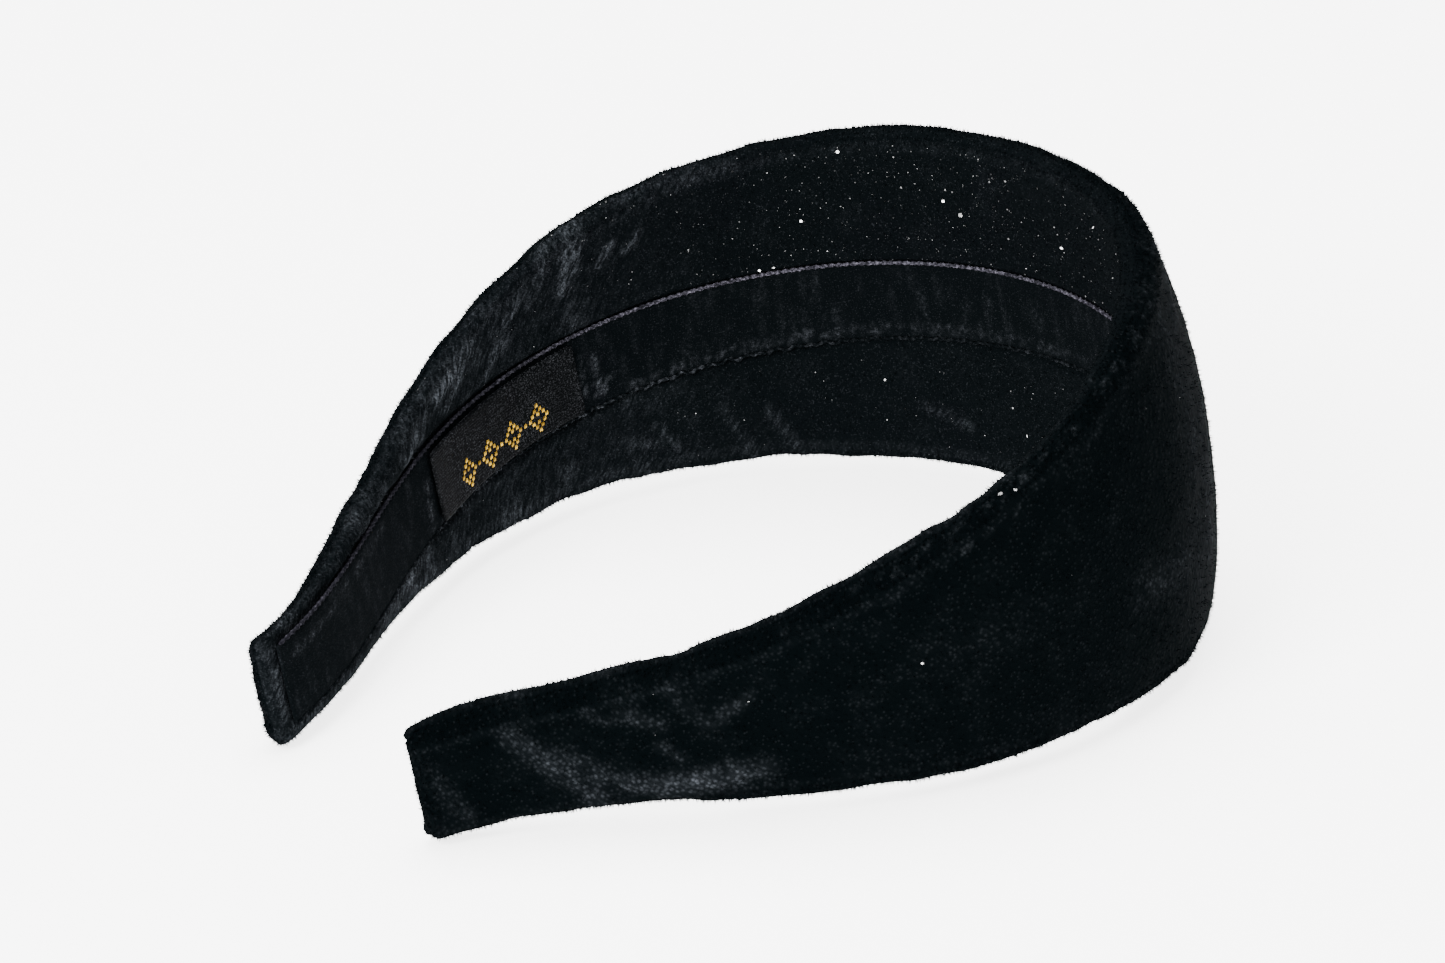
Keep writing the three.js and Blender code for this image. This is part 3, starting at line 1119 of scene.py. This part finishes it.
@dataclass
class Ribbon:
    """Velvet ribbon that covers the turned-in edges down the middle of the inner face."""

    band: Band
    width: float = 13.6 * MM
    setback: float = 2.5 * MM
    columns: int = 420
    face_rows: int = 7
    scallop: float = 0.3 * MM
    crushed: tuple[float, float] = (-62, 30)  # mm along, where the back edge waves most
    thread_highlight: tuple[float, float] = (-42, 60)  # mm along, where the front thread has its painted highlight
    tuft_glints: tuple[float, float] = (-98, 38)  # the same for the painted glints of the tufts along the back edge
    thread: float = 0.38 * MM
    thread_pitch: float = 1.3 * MM
    thread_inset: float = 0.4 * MM
    edge_drop: float = 0.15 * MM

    @property
    def end(self) -> float:
        """Distance from the crown centre to the ribbon's end."""
        return self.band.curve.half_length - self.setback

    def reach(self, side: Array, s: Array) -> Array:
        """Half width of the ribbon, whose back edge waves where it is crushed."""
        wave = np.sin(s / MM * 1.9) * np.sin(s / MM * 0.37 + 1.0)
        crushed = bell(s / MM, *self.crushed) + 0.25
        return self.width / 2 + np.where(side < 0, wave * crushed * self.scallop, 0)

    def build(self) -> list[Piece]:
        """Makes the ribbon and the woven thread along each of its edges."""
        band = self.band
        strip = Strip(
            start=-self.end, finish=self.end, reach=self.reach,
            nose=0.3 * MM,
            inner=lambda s, w: band.ribbon_face + self.edge_drop * (2 * w / self.width) ** 6,
            outer=lambda s, w: np.full_like(s, band.ribbon_back),
            columns=self.columns, face_rows=self.face_rows, corner=0.5 * MM,
        )
        piece = strip.build("ribbon", band)
        self.shape(piece)
        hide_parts("ribbon_left", "ribbon_right")
        dress(piece, RIBBON_VELVET)
        threads = [self.selvedge(side) for side in (1, -1)]
        return [piece, *threads]

    def shape(self, piece: Piece) -> None:
        """Ruffles the ribbon and lays its pile, with painted sheen where it is laid."""
        flat = flat_of(piece)
        ribs = flat * np.array([1, 0.2, 1])
        height = ripple(ribs, 1.6 * MM, seed=31) * 0.06 * MM
        # painted sheen: faint ribbed clouds and the placed streaks
        crush_sheen = 0.12 * np.clip(ripple(ribs, 1.1 * MM, seed=37), 0, 1)
        tear = np.clip(0.4 + 1.5 * ripple(flat, 1.1 * MM, seed=43), 0, 1.5)
        for mark in RIBBON_MARKS:
            under = mark.strength(flat)
            crush_sheen += under * mark.light * tear
            height += under * mark.height * MM
        shown = flat[:, 2] < (self.band.ribbon_face + self.band.ribbon_back) / 2
        push_out(piece, height * shown)
        lay_pile(piece, crush_sheen)

    def selvedge(self, side: int) -> Piece:
        """Makes the twisted thread along one edge of the ribbon.

        Args:
            side: 1 for the front edge and -1 for the back edge.

        Returns:
            The thread, with two plies that wind round each other.
        """
        end = self.end - self.thread_inset

        def flat_at(share: Array) -> Array:
            """Winds the two plies round the edge of the ribbon."""
            s = (share[:, 0] * 2 - 1) * end
            angle = share[:, 1] * 2 * math.pi
            twist = s / self.thread_pitch * 2 * math.pi
            radius = self.thread * (0.7 + 0.3 * np.cos(2 * (angle - twist / 2)))
            radius *= np.sqrt(ramp(end - np.abs(s), 0, 0.3 * MM))
            edge = self.reach(np.full_like(s, side), s)
            w = side * (edge + 0.1 * MM) + radius * np.cos(angle)
            n = self.band.ribbon_face + 0.5 * self.thread - radius * np.sin(angle)
            return np.stack([s, w, n], 1)

        name = "selvedge_front" if side > 0 else "selvedge_back"
        piece = wrapped_grid(name, self.band, 1100, 8, flat_at)
        flat = flat_of(piece)
        along = flat[:, 0] / MM
        uneven = np.clip(0.2 + 1.8 * ripple(flat, 0.9 * MM, seed=53), 0, 1.2)
        # painted highlight along the front thread, brightest over the crown; painted glints on the
        # back edge's tufts
        if side > 0:
            crush_sheen = (0.15 + 0.7 * bell(along, *self.thread_highlight, power=4)) * (0.55 + 0.45 * uneven)
        else:
            crush_sheen = (0.25 + 0.45 * bell(along, *self.tuft_glints, power=4)) * uneven
        lay_pile(piece, crush_sheen)
        dress(piece, SELVEDGE_PILE if side > 0 else RIBBON_VELVET)
        return piece


@dataclass
class Label:
    """Satin label with folded ends and a woven gold pattern, on the ribbon of the left arm."""

    band: Band
    length: float = 38 * MM
    width: float = 12.4 * MM
    from_tip: float = 58.3 * MM
    cell: tuple[float, float] = (0.62 * MM, 0.72 * MM)
    motif_middle: float = -2.6 * MM
    chart: tuple[str, ...] = (
        "....#.....",
        "...#.#....",
        "..#.#.#...",
        ".#.....#.#",
        "..#.#.#...",
        "...#.#....",
        "....#.....",
    )
    repeats: int = 4
    seed: int = 7
    waver: float = 0.04 * MM
    float_lean: tuple[float, float] = (0.25, 0.08)  # radians, their mean and their spread
    float_radius: tuple[float, float] = (0.17 * MM, 0.11 * MM)  # along the band, and through it
    overlap: float = 0.52  # half length of a float, as a share of its cell

    @property
    def near_end(self) -> float:
        """Distance along the band of the end towards the tip."""
        return -(self.band.curve.half_length - self.from_tip)

    def face(self, s: Array, w: Array) -> Array:
        """Level of the label's shown side, with its folded ends a little proud."""
        from_end = np.minimum(s - self.near_end, self.near_end + self.length - s)
        fold = np.clip(1 - from_end / (4 * MM), 0, 1)
        swell = np.sin(s / MM * 0.45 + w / MM * 0.3) * 0.05 * MM
        return self.band.label_face - 0.12 * MM * np.sin(math.pi * np.sqrt(fold)) + swell

    def build(self) -> list[Piece]:
        """Makes the label and its woven pattern."""
        band = self.band
        strip = Strip(
            start=self.near_end, finish=self.near_end + self.length,
            reach=lambda side, s: np.full_like(s, self.width / 2),
            nose=0.2 * MM, inner=self.face,
            outer=lambda s, w: np.full_like(s, band.label_back),
            columns=76, face_rows=10, corner=0.9 * MM, end_round=0.5 * MM,
        )
        piece = strip.build("woven_label", band)
        motif = self.motif()
        dress(piece, LABEL_SATIN)
        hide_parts("label")
        return [piece, motif]

    def motif(self) -> Piece:
        """Weaves the repeated lozenges as short raised floats of gold thread."""
        columns = len(self.chart[0]) * self.repeats - 1
        rows = len(self.chart)
        places = []
        for row in range(rows):
            for column in range(columns):
                if self.chart[row][column % len(self.chart[0])] != "#":
                    continue
                across = self.motif_middle + ((rows - 1) / 2 - row) * self.cell[1]
                middle = self.near_end + self.length / 2
                along = middle + (column - columns / 2 + 0.5) * self.cell[0]
                for part in (-0.25, 0.25):
                    places.append((along + part * self.cell[0], across))
        s, w = np.array(places).T
        rng = np.random.default_rng(self.seed)
        w = w + rng.normal(0, self.waver, len(w))
        flat = np.stack([s, w, self.face(s, w) - 0.03 * MM], 1)
        at = self.band.place(flat)
        ahead = self.band.place(flat + [0.1 * MM, 0, 0]) - at
        inwards = self.band.place(flat - [0, 0, 0.1 * MM]) - at
        ahead = unit(ahead)
        inwards = unit(inwards)
        over = np.cross(inwards, ahead)
        lean = rng.normal(*self.float_lean, len(s))[:, None]
        over = over * np.cos(lean) + ahead * np.sin(lean)
        ahead = np.cross(over, inwards)
        half = np.array([self.float_radius[0], self.overlap * self.cell[1], self.float_radius[1]])
        turns = np.stack([ahead, over, inwards], 2) * half
        bm = bmesh.new()
        bmesh.ops.create_icosphere(bm, subdivisions=2, radius=1)
        piece = scatter("label_motif", bm, turns, at, flat)
        piece.data.shade_smooth()
        dress(piece, GOLD_THREAD)
        return piece


@dataclass
class Glitter:
    """Tiny foil flakes caught in the pile, most of them on the inner field by the crown."""

    band: Band
    seed: int = 5
    placed: tuple[Triple, ...] = (
        (-21.8, 16.8, 0.42), (-24.5, 19.1, 0.32), (-41.6, 28, 0.34), (-50.4, 15.7, 0.28),
        (-58.9, 8, 0.26), (-56.5, 8, 0.24), (0.3, 15.7, 0.3), (13.6, 24.4, 0.24),
        (-41.5, -14.4, 0.24), (-16, -22.5, 0.26),
    )
    outer_placed: tuple[Triple, ...] = (
        (97.1, 25.5, 0.4), (94.9, 22.4, 0.32), (115, 2.8, 0.24), (140, 3.6, 0.2),
    )
    inner_count: int = 900
    outer_count: int = 30
    spread: tuple[float, float] = (-22, 42)  # mm along, the middle of the inner dust and its reach
    front_share: float = 0.86
    lift: float = 0.12 * MM
    lean: float = 0.35

    def build(self, cover: Piece) -> Piece:
        """Drops the flakes on the cover's surface."""
        rng = np.random.default_rng(self.seed)
        inner = [*self.placed]
        for _ in range(self.inner_count):
            s = rng.normal(*self.spread)
            front = rng.random() < self.front_share
            w = rng.uniform(7.5, 29) if front else rng.uniform(-28, -8)
            inner.append((s, float(w), 0.06 + 0.03 * rng.exponential()))
        outer = [*self.outer_placed]
        for _ in range(self.outer_count):
            outer.append((rng.uniform(-170, 170), rng.uniform(-22, 22), rng.uniform(0.05, 0.09)))
        rows = np.array(inner + outer)
        wanted = np.stack([rows[:, 0], rows[:, 1], np.zeros(len(rows))], 1) * MM
        side = np.where(np.arange(len(rows)) < len(inner), -1, 1)
        room = self.band.reach(np.sign(wanted[:, 1]), wanted[:, 0]) - 0.3 * MM
        wanted[:, 1] = np.clip(wanted[:, 1], -room, room)
        flat, points, normals = flat_of(cover), points_of(cover), normals_of(cover)
        near = []
        for place, face in zip(wanted, side):
            gap = np.sum((flat[:, :2] - place[:2]) ** 2, 1) + 1.0 * (flat[:, 2] * face < 0)
            near.append(int(np.argmin(gap)))
        wanted[:, 2] = flat[near, 2]
        at = self.band.place(wanted) + points[near] - self.band.place(flat[near])
        at += normals[near] * self.lift
        up = normals[near] + rng.normal(0, self.lean, at.shape)
        up = unit(up)
        turns = frames_on(up, rng.uniform(0, math.pi, len(up)))
        turns *= (rows[:, 2] * MM)[:, None, None]
        bm = bmesh.new()
        bmesh.ops.create_cone(bm, segments=6, radius1=1, radius2=0.85, depth=0.25, cap_ends=True)
        piece = scatter("glitter", bm, turns, at, wanted)
        # painted glints: most flakes stay dark, the placed ones fully bright, the outer placed ones
        # half
        painted_glint = np.clip(0.015 + 0.07 * rng.exponential(size=len(rows)), 0, 1)
        painted_glint[:len(self.placed)] = 1
        painted_glint[len(inner):len(inner) + len(self.outer_placed)] = 0.5
        lay_pile(piece, painted_glint)
        dress(piece, GLITTER_FOIL)
        return piece


# ---- Camera, light and floor ----


@dataclass(frozen=True)
class Viewpoint:
    """Where the camera stands, in degrees round and above the object."""

    azimuth: float = 55.01
    elevation: float = 24.37
    roll: float = -3.24
    distance: float = 1.0925
    target: Triple = (-0.02674, 0.01621, 0.01397)
    lens: float = 174.4

    def build(self) -> None:
        """Makes the camera and gives it to the scene."""
        around, above = math.radians(self.azimuth), math.radians(self.elevation)
        forward = Vector((-math.sin(around) * math.cos(above),
                          math.cos(around) * math.cos(above), -math.sin(above)))
        right = forward.cross(Vector((0, 0, 1))).normalized()
        up = right.cross(forward)
        tilt = math.radians(self.roll)
        right, up = (right * math.cos(tilt) + up * math.sin(tilt),
                     up * math.cos(tilt) - right * math.sin(tilt))
        data = bpy.data.cameras.new("camera")
        data.lens = self.lens
        data.sensor_width = 36
        data.clip_start = 0.01
        camera = add_object("camera", data)
        place = Matrix((right, up, -forward)).transposed().to_4x4()
        place.translation = Vector(self.target) - forward * self.distance
        camera.matrix_world = place
        bpy.context.scene.camera = camera


@dataclass(frozen=True)
class Softbox:
    """A square area light that faces the headband."""

    name: str
    place: Triple
    size: float
    power: float

    def build(self) -> None:
        """Makes the light."""
        data = bpy.data.lights.new(self.name, "AREA")
        data.shape = "SQUARE"
        data.size = self.size
        data.energy = self.power
        light = add_object(self.name, data)
        light.location = self.place
        aim = Vector((0, 0, 0.03)) - Vector(self.place)
        light.rotation_euler = aim.to_track_quat("-Z", "Y").to_euler()


@dataclass(frozen=True)
class Studio:
    """Pale floor, white surroundings and soft lights."""

    floor_size: float = 12.0
    surroundings: float = 1.7
    lights: tuple[Softbox, ...] = (
        Softbox("key", (0.35, -1.1, 1.0), 0.7, 48),
        Softbox("top", (-0.3, 0.2, 1.6), 1.2, 60),
    )

    def build(self) -> None:
        """Makes the floor, the world and the lights."""
        bm = bmesh.new()
        bmesh.ops.create_grid(bm, x_segments=2, y_segments=2, size=self.floor_size / 2)
        bmesh.ops.translate(bm, verts=bm.verts, vec=(0, 0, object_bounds()[0].z - 0.1 * MM))
        floor = object_of("floor", bm)
        graph = Graph("pale_floor")
        floor.data.materials.append(graph.finish({
            "Base Color": (0.9, 0.9, 0.9, 1), "Roughness": 0.8,
            "Emission Color": (1, 1, 1, 1), "Emission Strength": 3.4,
        }))
        floor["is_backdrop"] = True
        world = bpy.data.worlds.new("surroundings")
        world.use_nodes = True
        background = world.node_tree.nodes["Background"]
        background.inputs["Color"].default_value = (1, 1, 1, 1)
        background.inputs["Strength"].default_value = self.surroundings
        bpy.context.scene.world = world
        for light in self.lights:
            light.build()


# ---- Assembly ----


def bend_at_crown(piece: Piece) -> None:
    """Bakes a piece's transform into its mesh; the piece does not bend."""
    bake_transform(piece)


def main() -> None:
    """Builds the camera, the headband layer by layer, and the studio round it."""
    logging.basicConfig(level=logging.INFO, format="%(name)s %(message)s")
    Viewpoint().build()
    band = Band()
    core = PlasticCore(band).build()
    pad = FoamPad(band).build()
    cover = VelvetCover(band).build()
    fibres = PileFringe(band).build(cover)
    ribbon = Ribbon(band).build()
    glitter = Glitter(band).build(cover)
    label = Label(band).build()
    through = [core, pad, cover, fibres, glitter, *ribbon]
    for piece in through:
        bend_at_crown(piece)
    for piece in label:
        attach(piece, "left_half")
    for piece in through + label:
        log.info("%s: %d faces", piece.name, len(piece.data.polygons))
    Studio().build()


if __name__ == "__main__":
    main()
